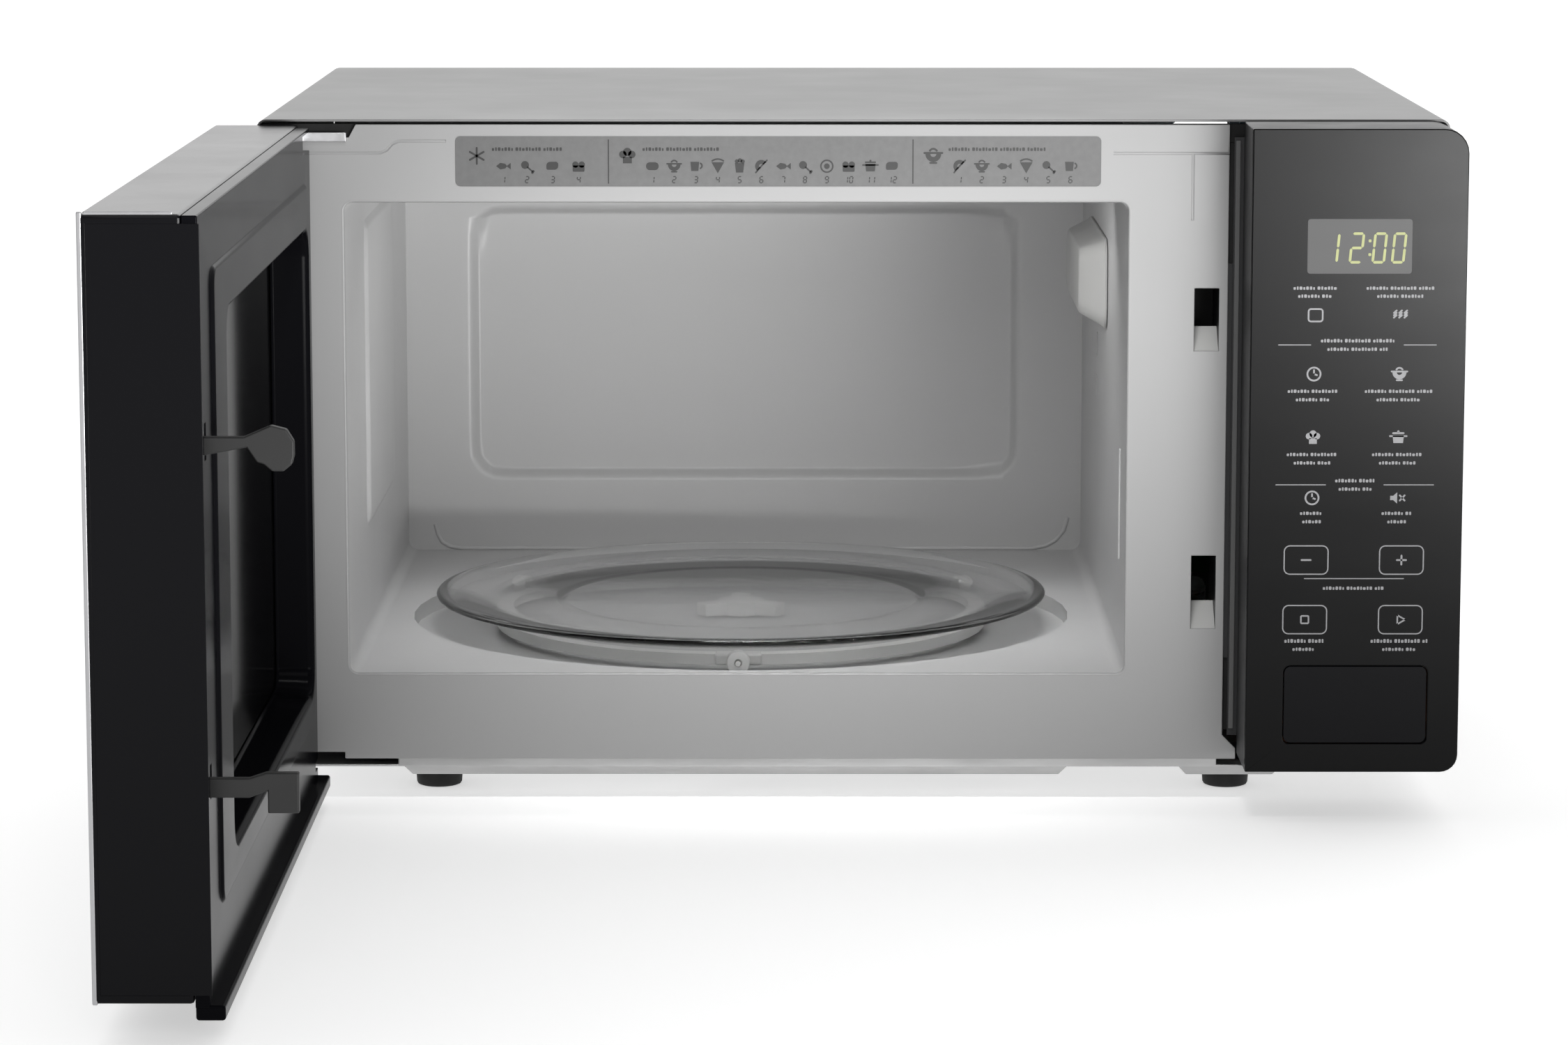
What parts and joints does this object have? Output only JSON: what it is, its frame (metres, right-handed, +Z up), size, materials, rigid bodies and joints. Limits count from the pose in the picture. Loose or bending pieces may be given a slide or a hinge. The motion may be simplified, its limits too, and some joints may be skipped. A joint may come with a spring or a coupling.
{
  "type": "microwave oven",
  "caption": "Countertop microwave oven with a side-hinged door standing open, glass turntable on rollers, printed control panel and a push button that frees the latch hooks.",
  "frame": {"origin": "on the surface the feet stand on, under the middle of the whole box with the door open", "axes": "+X to the oven's right as seen from the front, +Y from the door towards the back, +Z up"},
  "size_m": [0.5318, 0.7904, 0.298],
  "materials": {
    "cover_paint": "satin silver-grey enamel",
    "enamel": "light grey enamel",
    "zinc": "zinc plated",
    "black_gloss": "high gloss",
    "black_plastic": "satin moulded",
    "white_plastic": "satin moulded",
    "panel_glass": "dark printed glass",
    "clear_glass": "clear tempered",
    "screen_steel": "black enamel, pierced",
    "rubber": "moulded",
    "circuit": "solder mask",
    "can": "satin",
    "mica": "satin light grey",
    "fan": "satin"
  },
  "bodies": {
    "cabinet": {"outer_cover": "cover_paint", "back_panel": "cover_paint", "front_plate": "enamel", "cavity_shell": "enamel", "cavity_back": "enamel", "waveguide_cover": "mica", "base_pan": "zinc", "upper_hinge": "zinc", "lower_hinge": "zinc", "interlock_bracket": "black_plastic", "primary_switch": "black_plastic", "monitor_switch": "black_plastic", "secondary_switch": "black_plastic", "waveguide": "zinc", "magnetron": "zinc", "thermal_cutout": "black_plastic", "hv_transformer": "zinc", "hv_capacitor": "can", "hv_diode": "black_plastic", "mains_filter": "circuit", "fan_shroud": "white_plastic", "fan_motor": "zinc", "cavity_lamp": "clear_glass", "air_duct": "white_plastic", "turntable_motor": "zinc", "lever_spring": "zinc", "control_housing": "black_plastic", "control_fascia": "panel_glass", "control_board": "circuit", "display_module": "black_plastic", "cord_bush": "black_plastic", "rear_spacer_left": "black_plastic", "rear_spacer_right": "black_plastic", "foot_front_left": "rubber", "foot_front_right": "rubber", "foot_rear_left": "rubber", "foot_rear_right": "rubber"},
    "door": {"door_outer_frame": "black_gloss", "door_glass": "panel_glass", "door_screen": "screen_steel", "door_inner_window": "panel_glass", "door_inner_cover": "black_plastic", "latch_spring": "zinc"},
    "latch": {"latch_hooks": "black_plastic"},
    "button": {"release_button": "black_gloss"},
    "lever": {"release_lever": "black_plastic"},
    "fan": {"fan_blade": "fan"},
    "spindle": {"drive_coupler": "white_plastic"},
    "tray": {"glass_tray": "clear_glass"},
    "ring": {"roller_ring": "white_plastic"},
    "wheel_front": {"front_wheel": "white_plastic"},
    "wheel_right": {"right_wheel": "white_plastic"},
    "wheel_left": {"left_wheel": "white_plastic"}
  },
  "joints": [
    {"name": "door_hinge", "type": "hinge", "parent": "cabinet", "child": "door", "pos_m": [-0.23575, 0.01385, 0.155], "axis": [0, 0, 1], "range_deg": [0, 90]},
    {"name": "latch_slide", "type": "slide", "parent": "door", "child": "latch", "axis": [0, 0, 1], "range_m": [0, 0.0042], "stiffness_N_per_m": 120, "springref_m": -0.01, "deforming": ["latch_spring"]},
    {"name": "button_slide", "type": "slide", "parent": "cabinet", "child": "button", "axis": [0, 1, 0], "range_m": [0, 0.005], "stiffness_N_per_m": 200, "springref_m": -0.01},
    {"name": "lever_pivot", "type": "hinge", "parent": "cabinet", "child": "lever", "pos_m": [0.18855, 0.03525, 0.072], "axis": [1, 0, 0], "range_deg": [0, 14]},
    {"name": "fan_spin", "type": "hinge", "parent": "cabinet", "child": "fan", "pos_m": [0.20155, 0.36325, 0.237], "axis": [0, 1, 0], "continuous": true},
    {"name": "turntable_spin", "type": "hinge", "parent": "cabinet", "child": "spindle", "pos_m": [-0.04245, 0.18725, 0.0496], "axis": [0, 0, 1], "continuous": true},
    {"name": "tray_lift", "type": "slide", "parent": "spindle", "child": "tray", "axis": [0, 0, 1], "range_m": [0, 0.03]},
    {"name": "ring_spin", "type": "hinge", "parent": "cabinet", "child": "ring", "pos_m": [-0.04245, 0.18725, 0.0496], "axis": [0, 0, 1], "continuous": true},
    {"name": "front_wheel_spin", "type": "hinge", "parent": "ring", "child": "wheel_front", "pos_m": [-0.04245, 0.06625, 0.0551], "axis": [0, -1, 0], "continuous": true},
    {"name": "right_wheel_spin", "type": "hinge", "parent": "ring", "child": "wheel_right", "pos_m": [0.06234, 0.24775, 0.0551], "axis": [0.866, 0.5, 0], "continuous": true},
    {"name": "left_wheel_spin", "type": "hinge", "parent": "ring", "child": "wheel_left", "pos_m": [-0.14724, 0.24775, 0.0551], "axis": [-0.866, 0.5, 0], "continuous": true}
  ],
  "couplings": [
    {"joint": "lever_pivot", "follows": "button_slide", "rad_per_m": 47.619},
    {"joint": "ring_spin", "follows": "turntable_spin", "ratio": 0.5},
    {"joint": "front_wheel_spin", "follows": "turntable_spin", "ratio": -11.635},
    {"joint": "right_wheel_spin", "follows": "turntable_spin", "ratio": -11.635},
    {"joint": "left_wheel_spin", "follows": "turntable_spin", "ratio": -11.635}
  ]
}
